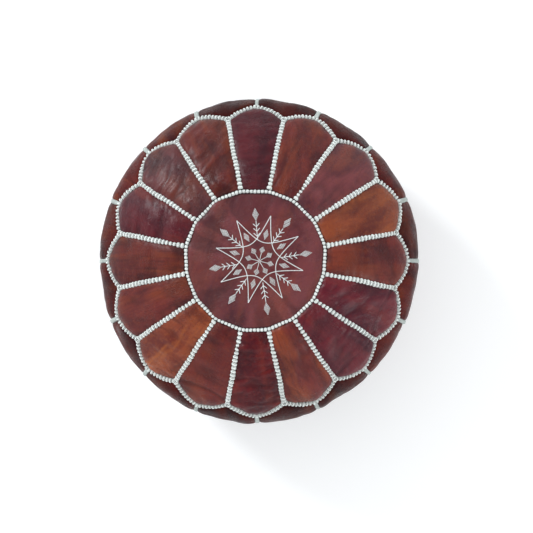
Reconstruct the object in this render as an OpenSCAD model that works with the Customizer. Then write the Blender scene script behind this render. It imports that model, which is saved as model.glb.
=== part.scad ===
// Round leather floor pouf. Petals round an embroidered medallion form its top, side panels
// run from the petals' scalloped edge down to a zipped base, and a stuffed insert fills it.
// The origin is on the floor under the middle of the pouf. +Z is up, and the zip runs along X.

/* [Pouf] */
// Widest diameter of the stuffed pouf
pouf_d = 520; // [480:5:560]
// Height of the crown above the floor
pouf_h = 320; // [290:5:350]
// Height of the widest line above the floor
girth_z = 158; // [145:1:170]
// Squareness of the upper shoulder, where 2 is an ellipse
upper_power = 2.7; // [2.4:0.1:3]
// Squareness of the lower shoulder, where 2 is an ellipse
lower_power = 3; // [2.6:0.1:3.2]
// Diameter of the ring that rests on the floor, measured outside
foot_d = 400; // [390:5:420]

/* [Petals] */
// Number of petals, and of side panels
petals = 16; // [16]
// Diameter of the seam round the medallion
medallion_d = 204; // [190:2:220]
// Diameter, seen from above, where two petals meet the side panels
valley_d = 435; // [430:1:446]
// Diameter, seen from above, through the petals' tips
tip_d = 472; // [466:1:480]
// Roundness of the petals' arched ends, where 1 is a plain point
arch_power = 1.4; // [1.3:0.1:2]

/* [Cover] */
// Thickness of the leather
leather_t = 2; // [1.5:0.1:2.5]
// Thickness of the padded cotton lining
lining_t = 5; // [4:0.5:6]
// Width of a whip-stitched seam
seam_w = 6; // [5:0.5:7]
// How far a seam stands proud of the leather
seam_proud = 1.5; // [1:0.1:2]

/* [Insert] */
// Gap between the lining and the insert
insert_gap = 0.5; // [0.3:0.1:1]
// Thickness of the insert's calico bag
calico_t = 1; // [0.8:0.1:1.5]

/* [Embroidery] */
// Turn of the pattern about the medallion's middle
pattern_turn = 8; // [0:1:22]
// Width of an embroidered line
thread_w = 1.3; // [1:0.1:1.6]
// Radius of the star's points
star_r = 65; // [62:1:68]
// Radius of the star's inner arcs
star_waist_r = 25; // [24:0.5:26]
// How far the hand-sewn pattern sits off the medallion's middle, along X
pattern_off_x = 7; // [0:0.5:8]
// How far the hand-sewn pattern sits off the medallion's middle, along Y
pattern_off_y = 0; // [-2:0.2:3]

/* [Base and zip] */
// Diameter of the base disc
base_d = 336; // [334:1:340]
// How far the base disc is drawn up off the floor
base_lift = 8; // [8:0.5:9]
// Width of the slot between the base's two halves
slot_w = 12; // [12:0.5:13]
// Where the slider stands when the zip is closed
slider_x = 127; // [120:1:127]
// Pitch of the teeth on one side of the zip
tooth_pitch = 3; // [3:0.5:4]
// Length of the pull tab from its pivot
pull_l = 28; // [22:1:28]

/* [Hidden] */
$fn = 96;
pitch = 360 / petals;
girth_r = pouf_d / 2;
foot_r = foot_d / 2;
base_r = base_d / 2;
ring_r = medallion_d / 2;
rise = pouf_h - girth_z;
// The lower half's own depth, of which the floor cuts off the end
drop = girth_z / pow(1 - pow(foot_d / pouf_d, lower_power), 1 / lower_power);
upper_steps = 14;
lower_steps = 10;
arch_steps = 4;
// Half the width of the scalloped seam as seen from above, where it lies on a slope
scallop_half = 2.2;
// Levels and reach that are safely outside the pouf or below every scallop
above = pouf_h + 20;
under_scallop = girth_z + 50;
beyond = pouf_d;

// Depths below the cover's outer face
lining_out = leather_t;
lining_in = leather_t + lining_t;
calico_out = lining_in + insert_gap;
calico_in = calico_out + calico_t;

// Embroidery sizes, from the middle of the medallion outward
star_arms = 8;
arm_pitch = 360 / star_arms;
embroidery_proud = 1.2;
star_slope = 0.635;
star_bend = 9.8;
rosette_spoke = [2, 10];
rosette_leaf_r = 16.3;
rosette_leaf = [7.5, 5.5];
inner_diamond_r = 37;
inner_diamond = [16.5, 8];
sprig_stem = [31.5, 59];
sprig_barbs = [38.5, 46, 53];
barb_reach = [4.5, 4.5];
outer_diamond_r = 67.7;
outer_diamond = [20, 9.6];

// Zip levels and sizes, with the tapes lying on the base leather's inner face
tape_z = base_lift + leather_t;
tape_t = 0.8;
tape_edge_y = 1.6;
tape_w = 14.4;
tape_l = 322;
chain_z = tape_z + tape_t / 2;
tooth = [1.2, 4.2, 2];
tooth_overlap = 0.8;
chain_from = -138;
chain_to = 120;
stop_l = 3;
stop_y = 3.2;
top_stop_x = 136;
bottom_stop_x = -143;
plate = [13, 10, 1.4];
plate_gap = 2.8;
flange = [10.5, 0.8, 0.7];
neck = [1.6, 1.8];
bridge_l = 10;
bridge_w = 2.4;
bridge_post = 1.2;
bridge_drop = 3.2;
bridge_bar = 1;
pivot_r = 0.8;
pivot_drop = 1.1;
pull_w = 8;
pull_t = 1.4;
pull_arm_w = 1.4;
pull_plate_from = 7;
pull_hole = [8, 3.6];
zip_stitch = [3.4, 0.8, 0.6];
zip_stitch_pitch = 4.6;
zip_stitch_y = 9.5;
zip_stitch_count = 64;

petal_colours = ["sienna", "peru", "sienna", "brown", "maroon", "brown", "sienna", "maroon"];
panel_colours = ["maroon", "brown", "maroon", "sienna"];

function two_digits(n) = n < 10 ? str("0", n) : str(n);
function petal_name(n) = str("petal_", two_digits(n));
function panel_name(n) = str("side_panel_", two_digits(n));

// ---- The pouf's section ----

function reversed(list) = [for (i = [len(list) - 1:-1:0]) list[i]];

// A point on a rounded quarter with half axes r and h, at angle a above the widest line
function quarter(r, h, power, a) = [r * pow(cos(a), 2 / power), h * pow(sin(a), 2 / power)];

// The angle at which the lower quarter, d inside the outer face, reaches the height d
function floor_angle(d) = asin(pow((girth_z - d) / (drop - d), lower_power / 2));

// The section at depth d inside the outer face, from the crown down to the height d
function section(d) = concat(
    [for (i = [0:upper_steps])
        [0, girth_z] + quarter(girth_r - d, rise - d, upper_power, 90 * (1 - i / upper_steps))],
    [for (i = [1:lower_steps])
        let (p = quarter(girth_r - d, drop - d, lower_power, floor_angle(d) * i / lower_steps))
        [p[0], girth_z - p[1]]]
);

// The closed section of a layer between two depths, with its foot and the wall up to the base
function layer_section(outer, inner) = concat(
    section(outer),
    [
        [base_r + outer, outer],
        [base_r + outer, base_lift + inner],
        [base_r + inner, base_lift + inner],
        [base_r + inner, inner],
    ],
    reversed(section(inner))
);

// The part of a layer within half a turn or less of the X axis
module layer(outer, inner, turn = 360) {
    rotate([0, 0, -turn / 2])
        rotate_extrude(angle = turn)
            polygon(layer_section(outer, inner));
}

// A ring of a layer between two radii, above the height from
module layer_ring(outer, inner, r_in, r_out, from) {
    rotate_extrude()
        intersection() {
            polygon(layer_section(outer, inner));
            translate([r_in, from])
                square([r_out - r_in, above - from]);
        }
}

// ---- The cover's outlines, seen from above ----

// Radius of the scalloped edge at angle a from a petal's middle line
function scallop_r(a) =
    (valley_d + (tip_d - valley_d) * (1 - pow(abs(a) / (pitch / 2), arch_power))) / 2;

// Points along the scalloped edge for one pitch, moved outward by grow.
// The middle is a petal's tip where phase is 0, and a valley where phase is 1.
function scallop_points(grow, phase) = [
    for (i = [-arch_steps:arch_steps])
        let (a = i / arch_steps * pitch / 2)
        let (from_tip = phase == 0 ? a : pitch / 2 - abs(a))
        (scallop_r(from_tip) + grow) * [cos(a), sin(a)]
];

// Everything inside the scalloped edge, over one pitch
module scallop_fan(grow, phase) {
    translate([0, 0, under_scallop])
        linear_extrude(above - under_scallop)
            polygon(concat([[0, 0]], scallop_points(grow, phase)));
}

// One pitch of the pouf, less half a seam's width on each side
module wedge() {
    apex = [seam_w / 2 / sin(pitch / 2), 0];
    reach = beyond * [cos(pitch / 2), sin(pitch / 2)];
    linear_extrude(above)
        polygon([apex, apex + [reach[0], -reach[1]], apex + reach]);
}

// The slab that a straight seam fills, from the axis outward
module seam_slab() {
    translate([0, -seam_w / 2, 0])
        cube([beyond, seam_w, above]);
}

module drum(r) {
    cylinder(r = r, h = above);
}

// ---- Cover ----

module medallion() {
    color("brown")
        layer_ring(0, leather_t, 0, ring_r - seam_w / 2, under_scallop);
}

module petal(n) {
    color(petal_colours[(n - 1) % len(petal_colours)])
        rotate([0, 0, (n - 1) * pitch])
            difference() {
                intersection() {
                    layer(0, leather_t, pitch);
                    wedge();
                    scallop_fan(-scallop_half, 0);
                }
                drum(ring_r + seam_w / 2);
            }
}

module side_panel(n) {
    color(panel_colours[(n - 1) % len(panel_colours)])
        rotate([0, 0, (n - 0.5) * pitch])
            difference() {
                intersection() {
                    layer(0, leather_t, pitch);
                    wedge();
                }
                scallop_fan(scallop_half, 1);
            }
}

// The half of the base disc on the side of the Y axis that side gives, 1 or -1
module base_half(side) {
    color("peru")
        intersection() {
            translate([0, 0, base_lift])
                cylinder(r = base_r, h = leather_t);
            translate([-beyond / 2, side > 0 ? slot_w / 2 : -beyond - slot_w / 2, 0])
                cube([beyond, beyond, above]);
        }
}

// ---- Whip-stitched seams ----

module medallion_seam() {
    color("ivory")
        layer_ring(-seam_proud, leather_t, ring_r - seam_w / 2, ring_r + seam_w / 2, under_scallop);
}

module petal_seams() {
    color("ivory")
        for (n = [1:petals])
            rotate([0, 0, (n - 0.5) * pitch])
                difference() {
                    intersection() {
                        layer(-seam_proud, leather_t, pitch);
                        seam_slab();
                        scallop_fan(-scallop_half, 1);
                    }
                    drum(ring_r + seam_w / 2);
                }
}

// One petal's arch of the scalloped seam
module scallop_arch() {
    intersection() {
        layer(-seam_proud, leather_t, pitch);
        difference() {
            scallop_fan(scallop_half, 0);
            scallop_fan(-scallop_half, 0);
        }
    }
}

module scallop_seam() {
    color("ivory")
        for (n = [1:petals])
            rotate([0, 0, (n - 1) * pitch])
                scallop_arch();
}

module side_seams() {
    color("ivory")
        for (n = [1:petals])
            rotate([0, 0, (n - 1) * pitch])
                difference() {
                    intersection() {
                        layer(-seam_proud, leather_t, pitch);
                        seam_slab();
                    }
                    scallop_fan(scallop_half, 0);
                    translate([0, 0, under_scallop])
                        drum(valley_d / 2);
                    cylinder(r = base_r, h = girth_z);
                }
}

module base_seam() {
    color("ivory")
        translate([0, 0, base_lift - seam_proud])
            difference() {
                cylinder(r = base_r, h = seam_proud);
                translate([0, 0, -1])
                    cylinder(r = base_r - seam_w, h = seam_proud + 2);
            }
}

// ---- Embroidery on the medallion ----

// A straight stitch of the given length along X, starting at x
module line(x, length, width = thread_w) {
    translate([x, -width / 2])
        square([length, width]);
}

module diamond(size) {
    polygon([[-size[0] / 2, 0], [0, -size[1] / 2], [size[0] / 2, 0], [0, size[1] / 2]]);
}

// The star's curve, x as a function of y: straight arms that bend round the middle
function star_x(y) = star_waist_r - star_bend + norm([star_bend, star_slope * y]);

// The curve that joins two star points a quarter turn apart
module star_curve() {
    reach = star_r * sin(arm_pitch);
    ys = [for (i = [-6:6]) reach * i / 6];
    outer = [for (y = ys) [star_x(y) + thread_w / 2, y]];
    inner = [for (y = ys) [star_x(y) - thread_w / 2, y]];
    polygon(concat(outer, reversed(inner)));
}

// A sprig along X: a stem with pairs of barbs and a satin-stitched diamond at its end
module sprig() {
    line(sprig_stem[0], sprig_stem[1] - sprig_stem[0]);
    for (x = sprig_barbs)
        for (side = [-1, 1])
            translate([x, 0])
                rotate(side * atan2(barb_reach[1], barb_reach[0]))
                    line(0, norm(barb_reach));
    translate([outer_diamond_r, 0])
        diamond(outer_diamond);
}

// Raises a flat pattern into thread that lies on the medallion, repeated on every arm
module embroider(turn) {
    color("ivory")
        intersection() {
            layer_ring(-embroidery_proud, 0, 0, ring_r - seam_w / 2, under_scallop);
            translate([pattern_off_x, pattern_off_y, under_scallop])
                for (arm = [0:star_arms - 1])
                    rotate([0, 0, turn + arm * arm_pitch])
                        linear_extrude(above - under_scallop)
                            children();
        }
}

module embroidery_star() {
    embroider(pattern_turn + arm_pitch / 2)
        star_curve();
}

module embroidery_sprigs() {
    embroider(pattern_turn)
        sprig();
}

module embroidery_diamonds() {
    embroider(pattern_turn + arm_pitch / 2)
        translate([inner_diamond_r, 0])
            diamond(inner_diamond);
}

module embroidery_rosette() {
    embroider(pattern_turn + arm_pitch / 2) {
        line(rosette_spoke[0], rosette_spoke[1] - rosette_spoke[0]);
        translate([rosette_leaf_r, 0])
            diamond(rosette_leaf);
    }
}

// ---- Lining and insert ----

module lining_top() {
    color("wheat")
        layer_ring(lining_out, lining_in, 0, valley_d / 2, under_scallop);
}

module lining_side() {
    color("wheat")
        difference() {
            layer(lining_out, lining_in);
            translate([0, 0, under_scallop])
                cylinder(r = valley_d / 2, h = above);
        }
}

module lining_base() {
    slit = 2 * (tape_edge_y + tape_w);
    color("wheat")
        translate([0, 0, tape_z])
            difference() {
                cylinder(r = base_r + lining_out, h = lining_t);
                translate([-tape_l / 2, -slit / 2, -1])
                    cube([tape_l, slit, lining_t + 2]);
            }
}

// The solid inside the insert at depth d, flat over the base
module insert_body(d) {
    floor_z = base_lift + d;
    rotate_extrude()
        polygon(concat(section(d), [[base_r + d, d], [base_r + d, floor_z], [0, floor_z]]));
}

module insert_cover() {
    color("linen")
        difference() {
            insert_body(calico_out);
            insert_body(calico_in);
        }
}

module insert_filling() {
    color("whitesmoke")
        insert_body(calico_in);
}

// ---- Zip ----

module zip_tape(side) {
    color("saddlebrown")
        translate([-tape_l / 2, side > 0 ? tape_edge_y : -tape_edge_y - tape_w, tape_z])
            cube([tape_l, tape_w, tape_t]);
}

// A block that grips a tape's edge, from y_in to y_out on one side of the zip
module crimp(x, length, y_in, y_out, side) {
    scale_y = side > 0 ? 0 : 1;
    mirror([0, scale_y, 0])
        difference() {
            translate([x, y_in, chain_z - tooth[2] / 2])
                cube([length, y_out - y_in, tooth[2]]);
            translate([x - 1, tape_edge_y, tape_z])
                cube([length + 2, tape_w, tape_t]);
        }
}

module zip_teeth(side) {
    shift = side > 0 ? 0 : tooth_pitch / 2;
    count = floor((chain_to - chain_from) / tooth_pitch);
    color("goldenrod")
        for (i = [0:count - 1])
            crimp(chain_from + shift + i * tooth_pitch, tooth[0],
                -tooth_overlap, tooth[1] - tooth_overlap, side);
}

module zip_stops() {
    color("goldenrod") {
        for (side = [-1, 1])
            crimp(top_stop_x, stop_l, tape_edge_y / 2, stop_y, side);
        difference() {
            translate([bottom_stop_x, -stop_y, chain_z - tooth[2] / 2])
                cube([stop_l, 2 * stop_y, tooth[2]]);
            for (side = [0, 1])
                mirror([0, side, 0])
                    translate([bottom_stop_x - 1, tape_edge_y, tape_z])
                        cube([stop_l + 2, tape_w, tape_t]);
        }
    }
}

module zip_stitching() {
    span = (zip_stitch_count - 1) * zip_stitch_pitch + zip_stitch[0];
    color("ivory")
        for (side = [-1, 1])
            for (i = [0:zip_stitch_count - 1])
                translate([
                    i * zip_stitch_pitch - span / 2,
                    side * zip_stitch_y - zip_stitch[1] / 2,
                    base_lift - zip_stitch[2],
                ])
                    cube(zip_stitch);
}

// One of the slider's two plates with its side flanges, which point up
module slider_plate() {
    nose = 3;
    linear_extrude(plate[2])
        polygon([
            [-plate[0] / 2, -plate[1] / 2 + nose / 2],
            [-plate[0] / 2 + nose, -plate[1] / 2],
            [plate[0] / 2, -plate[1] / 2],
            [plate[0] / 2, plate[1] / 2],
            [-plate[0] / 2 + nose, plate[1] / 2],
            [-plate[0] / 2, plate[1] / 2 - nose / 2],
        ]);
    for (side = [0, 1])
        mirror([0, side, 0])
            translate([-flange[0] / 2, plate[1] / 2 - flange[1], plate[2]])
                cube(flange);
}

module zip_slider() {
    lower_z = chain_z - plate_gap / 2 - plate[2];
    color("goldenrod")
        translate([slider_x, 0, 0]) {
            translate([0, 0, lower_z])
                slider_plate();
            translate([0, 0, 2 * chain_z - lower_z])
                mirror([0, 0, 1])
                    slider_plate();
            translate([plate[0] / 2 - neck[0] - 0.3, -neck[1] / 2, lower_z + plate[2]])
                cube([neck[0], neck[1], plate_gap]);
            translate([-bridge_l / 2, -bridge_w / 2, lower_z - bridge_drop])
                difference() {
                    cube([bridge_l, bridge_w, bridge_drop]);
                    translate([bridge_post, -1, bridge_bar])
                        cube([bridge_l - 2 * bridge_post, bridge_w + 2, bridge_drop]);
                }
        }
}

// The pull tab hangs on the bridge by its pivot bar and lies along the closed chain
module zip_pull() {
    pivot_z = chain_z - plate_gap / 2 - plate[2] - pivot_drop;
    arm_y = pull_w / 2 - pull_arm_w;
    color("goldenrod")
        translate([slider_x, 0, pivot_z]) {
            rotate([90, 0, 0])
                cylinder(r = pivot_r, h = pull_w, center = true);
            for (side = [0, 1])
                mirror([0, side, 0])
                    translate([-pull_plate_from, arm_y, -pull_t / 2])
                        cube([pull_plate_from, pull_arm_w, pull_t]);
            difference() {
                translate([-pull_l, -pull_w / 2, -pull_t / 2])
                    cube([pull_l - pull_plate_from, pull_w, pull_t]);
                translate([-pull_l + 3, -pull_hole[1] / 2, -pull_t])
                    cube([pull_hole[0], pull_hole[1], 2 * pull_t]);
            }
        }
}

// ---- The part ----

medallion();
for (n = [1:petals])
    petal(n);
for (n = [1:petals])
    side_panel(n);
base_half(-1);  // base_half_front
base_half(1);  // base_half_rear
medallion_seam();
petal_seams();
scallop_seam();
side_seams();
base_seam();
embroidery_star();
embroidery_sprigs();
embroidery_diamonds();
embroidery_rosette();
lining_top();
lining_side();
lining_base();
insert_cover();
insert_filling();
zip_tape(-1);  // zip_tape_front
zip_tape(1);  // zip_tape_rear
zip_teeth(-1);  // zip_teeth_front
zip_teeth(1);  // zip_teeth_rear
zip_stops();
zip_stitching();
zip_slider();
zip_pull();
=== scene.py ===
"""A round Moroccan leather pouf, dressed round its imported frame.

The cover is one skin of leather panels whose edges are held on the seams. Blender's Cloth puffs
it, and each panel becomes a piece of its own. Stitches, embroidery, lining, insert and zip are
laid on or under that skin. Lengths are in metres, and +Z is up.
"""
import math

import bmesh
import bpy
import numpy as np
from mathutils import Matrix, Vector, noise
from mathutils.bvhtree import BVHTree


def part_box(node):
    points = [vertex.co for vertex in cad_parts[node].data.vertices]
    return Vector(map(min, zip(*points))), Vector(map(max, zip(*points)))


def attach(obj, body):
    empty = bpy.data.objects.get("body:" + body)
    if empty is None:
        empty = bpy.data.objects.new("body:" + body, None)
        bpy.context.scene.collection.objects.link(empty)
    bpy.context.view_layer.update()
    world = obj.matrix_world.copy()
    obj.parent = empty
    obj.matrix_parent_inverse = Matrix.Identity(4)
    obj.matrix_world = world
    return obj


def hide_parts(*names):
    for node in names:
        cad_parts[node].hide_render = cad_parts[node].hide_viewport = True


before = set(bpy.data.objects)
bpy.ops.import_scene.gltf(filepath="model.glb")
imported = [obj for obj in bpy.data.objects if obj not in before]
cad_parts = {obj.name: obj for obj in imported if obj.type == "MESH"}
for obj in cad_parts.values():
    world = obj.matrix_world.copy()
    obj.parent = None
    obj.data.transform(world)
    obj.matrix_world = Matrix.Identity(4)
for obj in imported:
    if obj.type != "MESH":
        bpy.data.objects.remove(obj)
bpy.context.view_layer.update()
MM = 0.001
PETALS = 16
PITCH = 2 * math.pi / PETALS

# ---- Driving sizes, read from the frame ----

medallion_box, medallion_seam_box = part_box("medallion"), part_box("medallion_seam")
RING_R = (medallion_box[1].x + medallion_seam_box[1].x) / 2
SEAM_PROUD = 1.5 * MM
VALLEY_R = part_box("lining_top")[1].x
TIP_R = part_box("petal_01")[1].x + 2.2 * MM
GIRTH_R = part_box("side_seams")[1].x - SEAM_PROUD
HEIGHT = medallion_box[1].z
BASE_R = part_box("base_half_rear")[1].y
BASE_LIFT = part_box("base_half_rear")[0].z
SLOT_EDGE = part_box("base_half_rear")[0].y
FOOT_R = 200 * MM
GIRTH_Z = 158 * MM
UPPER_POWER, LOWER_POWER = 2.7, 3.0
ARCH_POWER = 1.4

rng = np.random.default_rng(16)


# ---- The pouf's section: a curve from the crown, over the girth, to the base's edge ----

def evened(radius, height, count):
    """The same curve as count points an even length apart, and the lengths along it."""
    lengths = np.concatenate([[0], np.cumsum(np.hypot(np.diff(radius), np.diff(height)))])
    even = np.linspace(0, lengths[-1], count)
    return even, np.interp(even, lengths, radius), np.interp(even, lengths, height)


def section_curve():
    """Length, radius, height and outward normal along the section."""
    cut = (1 - (FOOT_R / GIRTH_R) ** LOWER_POWER) ** (1 / LOWER_POWER)
    angles = np.linspace(math.pi / 2, 0, 900)
    upper_r = GIRTH_R * np.cos(angles).clip(0) ** (2 / UPPER_POWER)
    upper_z = GIRTH_Z + (HEIGHT - GIRTH_Z) * np.sin(angles) ** (2 / UPPER_POWER)
    angles = np.linspace(0, math.asin(cut ** (LOWER_POWER / 2)), 500)[1:]
    lower_r = GIRTH_R * np.cos(angles) ** (2 / LOWER_POWER)
    lower_z = GIRTH_Z - GIRTH_Z / cut * np.sin(angles) ** (2 / LOWER_POWER)
    radius = np.concatenate([upper_r, lower_r, [BASE_R, BASE_R]])
    height = np.concatenate([upper_z, lower_z, [0, BASE_LIFT]])
    along, radius, height = evened(radius, height, 1500)
    smooth = np.hanning(15) / np.hanning(15).sum()
    slope_r, slope_z = (np.convolve(np.pad(np.gradient(line), 7, "edge"), smooth, "valid")
                        for line in (radius, height))
    size = np.hypot(slope_r, slope_z)
    return along, radius, height, -slope_z / size, slope_r / size


ALONG, SECTION_R, SECTION_Z, NORMAL_R, NORMAL_Z = section_curve()
TOP = ALONG <= ALONG[SECTION_R.argmax()]
END_S = ALONG[-1]


def along_at(radius):
    """Length along the section, on the top, at a radius."""
    return np.interp(radius, SECTION_R[TOP], ALONG[TOP])


def placed(phi, r, z):
    """Points at azimuth phi, with the stuffed pouf's slight lopsidedness above its foot."""
    wider = 0.009 * np.sin(2 * phi - 1.0) + 0.005 * np.cos(phi - 1.4)
    wider = wider + 0.007 * np.cos(3 * phi - 0.3) - 0.011
    r = r * (1 + wider * np.clip(z / (70 * MM), 0, 1) * (r / GIRTH_R) ** 2)
    return np.stack([r * np.cos(phi), r * np.sin(phi), z], -1)


def on_cover(phi, along, lift=0.0):
    """Points on the cover at azimuth phi and length along the section, raised by lift."""
    phi, along, lift = np.broadcast_arrays(phi, along, lift)
    r = np.interp(along, ALONG, SECTION_R) + lift * np.interp(along, ALONG, NORMAL_R)
    z = np.interp(along, ALONG, SECTION_Z) + lift * np.interp(along, ALONG, NORMAL_Z)
    return placed(phi, r, z)


# ---- Seam lines, each a little uneven, as hand-sewn seams are ----

WOBBLE = rng.uniform(-1, 1, (PETALS, 8))
ARCH = ARCH_POWER + rng.uniform(-0.1, 0.15, PETALS)
# Petals whose tip, or the valley after it, is plainly out of line, and how far out it is in mm
TIPS_ASTRAY = {0: -3, 8: 2, 14: 2, 15: 2}
VALLEYS_ASTRAY = {0: -2, 6: -3, 14: 3, 15: -2}


def astray(cases):
    """How far each petal's tip or valley is out of line: a little by chance, or as cases say in mm."""
    shift = rng.uniform(-0.8, 0.8, PETALS)
    shift[list(cases)] = list(cases.values())
    return shift * MM


TIP_SHIFT, VALLEY_SHIFT = astray(TIPS_ASTRAY), astray(VALLEYS_ASTRAY)


def waver(k, t, row=0):
    """A smooth hand-made waver of about -1 to 1 along seam k."""
    a, b, c, d = WOBBLE[k % PETALS, 4 * row:4 * row + 4]
    return a * np.sin(math.pi * (1.3 * t + c)) + 0.6 * b * np.sin(math.pi * (3.1 * t + d))


def scallop_s(phi):
    """Length along the section to the scalloped seam at azimuth phi."""
    k = np.round(phi / PITCH).astype(int)
    u = phi / PITCH - k
    k %= PETALS
    valley = VALLEY_R + VALLEY_SHIFT[k - 1] * (0.5 - u) + VALLEY_SHIFT[k] * (0.5 + u)
    tip = TIP_R + TIP_SHIFT[k]
    uneven = 2.0 * np.cos(phi + 0.82) + 3.0 * np.cos(2 * phi - 2.7) + 1.1 * np.cos(3 * phi - 0.9) - 1
    return along_at(tip - (tip - valley) * np.abs(2 * u) ** ARCH[k] + uneven * MM)


RING_S = along_at(RING_R)


def ring_s(phi):
    """Length along the section to the medallion's seam, which is not quite round."""
    uneven = 0.7 * MM * np.sin(3 * phi + 0.7) + 0.4 * MM * np.sin(7 * phi)
    return RING_S + uneven - 0.6 * MM * np.cos(PETALS * phi)


def petal_seam_phi(k, t):
    """Azimuth of the seam between petals k and k + 1, t of the way out to the valley."""
    r = RING_R + t * (VALLEY_R - RING_R)
    return (k + 0.5) * PITCH + waver(k, t) * 0.9 * MM * np.sin(math.pi * t) / r


def side_seam_phi(k, t):
    """Azimuth of the seam below petal k's tip, t of the way down to the base."""
    return k * PITCH + waver(k, 2 * t, 1) * 1.2 * MM * np.sin(math.pi * np.clip(t, 0, 1)) / GIRTH_R


# ---- Mesh helpers ----

def quads(number):
    """Faces of a grid of point numbers whose first axis runs with the azimuth, facing outward."""
    return np.stack([number[:-1, :-1], number[:-1, 1:], number[1:, 1:], number[1:, :-1]], -1).reshape(-1, 4)


def numbered(shape, start=0):
    return np.arange(shape[0] * shape[1]).reshape(shape[:2]) + start


def rim_loop(shape):
    """The numbers of a grid's rim points, in order round it."""
    number = numbered(shape)
    return np.concatenate([number[:-1, 0], number[-1, :-1], number[:0:-1, -1], number[0, :0:-1]])


def walls(loop, count):
    """Faces between a loop of points and the same loop count further on."""
    after = np.roll(loop, -1)
    return np.stack([loop, after, after + count, loop + count], 1)


def in_scene(name, data):
    """A new object in the scene, from its data."""
    thing = bpy.data.objects.new(name, data)
    bpy.context.scene.collection.objects.link(thing)
    return thing


def build(name, points, *face_sets):
    """A mesh object from points and arrays of faces, each array with faces of one size."""
    mesh = bpy.data.meshes.new(name)
    points = np.asarray(points, np.float32).reshape(-1, 3)
    sizes = np.concatenate([np.full(len(f), f.shape[1]) for f in face_sets])
    corners = np.concatenate([np.asarray(f).ravel() for f in face_sets]).astype(np.int32)
    mesh.vertices.add(len(points))
    mesh.vertices.foreach_set("co", points.ravel())
    mesh.loops.add(len(corners))
    mesh.loops.foreach_set("vertex_index", corners)
    mesh.polygons.add(len(sizes))
    starts = np.concatenate([[0], np.cumsum(sizes)[:-1]]).astype(np.int32)
    mesh.polygons.foreach_set("loop_start", starts)
    mesh.polygons.foreach_set("use_smooth", np.ones(len(sizes), bool))
    mesh.update(calc_edges=True)
    return in_scene(name, mesh)


def unit(vectors):
    return vectors / np.maximum(np.linalg.norm(vectors, axis=-1, keepdims=True), 1e-12)


def lengths_along(points):
    """The length from a line's first point to each of its points."""
    return np.concatenate([[0], np.cumsum(np.linalg.norm(np.diff(points, axis=0), axis=1))])


def grid_normals(points):
    """Outward normals of a grid of points."""
    return unit(np.cross(np.gradient(points, axis=1), np.gradient(points, axis=0)))


def shell(name, outer, inner):
    """A closed sheet between two grids of points."""
    number, count = numbered(outer.shape), outer.shape[0] * outer.shape[1]
    return build(name, [outer, inner], quads(number), quads(number + count)[:, ::-1],
                 walls(rim_loop(outer.shape), count))


def ring_shell(name, outer, inner):
    """A closed sheet between two grids that go all the way round."""
    number, count = numbered(outer.shape), outer.shape[0] * outer.shape[1]
    number = np.concatenate([number, number[:1]])
    return build(name, [outer, inner], quads(number), quads(number + count)[:, ::-1],
                 walls(number[:-1, 0], count), walls(number[:0:-1, -1], count))


def capped(points, start=0):
    """Points and faces of a closed body, from a grid that goes all the way round."""
    number = numbered(points.shape, start)
    ends = points[:, [0, -1]].mean(0)
    number = np.concatenate([number, number[:1]])
    first, last = start + points[..., 0].size, start + points[..., 0].size + 1
    top = np.stack([np.full(len(points), first), number[:-1, 0], number[1:, 0]], 1)
    bottom = np.stack([np.full(len(points), last), number[1:, -1], number[:-1, -1]], 1)
    return np.concatenate([points.reshape(-1, 3), ends]), quads(number), np.concatenate([top, bottom])


def tubes(paths, radius, up, sides=6):
    """Points and faces of many closed tubes: paths is tubes x points x 3."""
    paths = np.asarray(paths, float)
    count, length = paths.shape[:2]
    tangent = unit(np.gradient(paths, axis=1))
    across = unit(np.cross(tangent, np.broadcast_to(up, paths.shape)))
    above = np.cross(across, tangent)
    turn = np.arange(sides) * 2 * math.pi / sides
    radius = np.broadcast_to(radius, paths.shape[:2])[..., None, None]
    rings = paths[:, :, None] + radius * (np.cos(turn)[:, None] * across[:, :, None]
                                          + np.sin(turn)[:, None] * above[:, :, None])
    number = np.arange(count * length * sides).reshape(count, length, sides)
    beside = np.roll(number, -1, axis=2)
    sleeve = np.stack([number[:, :-1], beside[:, :-1], beside[:, 1:], number[:, 1:]], -1).reshape(-1, 4)
    return rings.reshape(-1, 3), sleeve, np.concatenate([number[:, 0, ::-1], number[:, -1]])


def joined(name, parts):
    """One mesh object from several results of tubes."""
    shift = np.cumsum([0] + [len(p[0]) for p in parts])
    return build(name, np.concatenate([p[0] for p in parts]),
                 np.concatenate([p[1] + s for p, s in zip(parts, shift)]),
                 np.concatenate([p[2] + s for p, s in zip(parts, shift)]))


def paint(piece, **fields):
    """Stores numbers on a sheet's points, the same on both its faces, for its material to read."""
    for name, field in fields.items():
        stored = piece.data.attributes.new(name, "FLOAT", "POINT")
        stored.data.foreach_set("value", np.tile(field.ravel(), 2).astype(np.float32))


def dress(piece, node, material, body="cover"):
    """Makes a piece stand for a CAD node, with its body."""
    piece.data.materials.append(material)
    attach(piece, body)
    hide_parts(node)
    return piece


# ---- Materials ----

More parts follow.
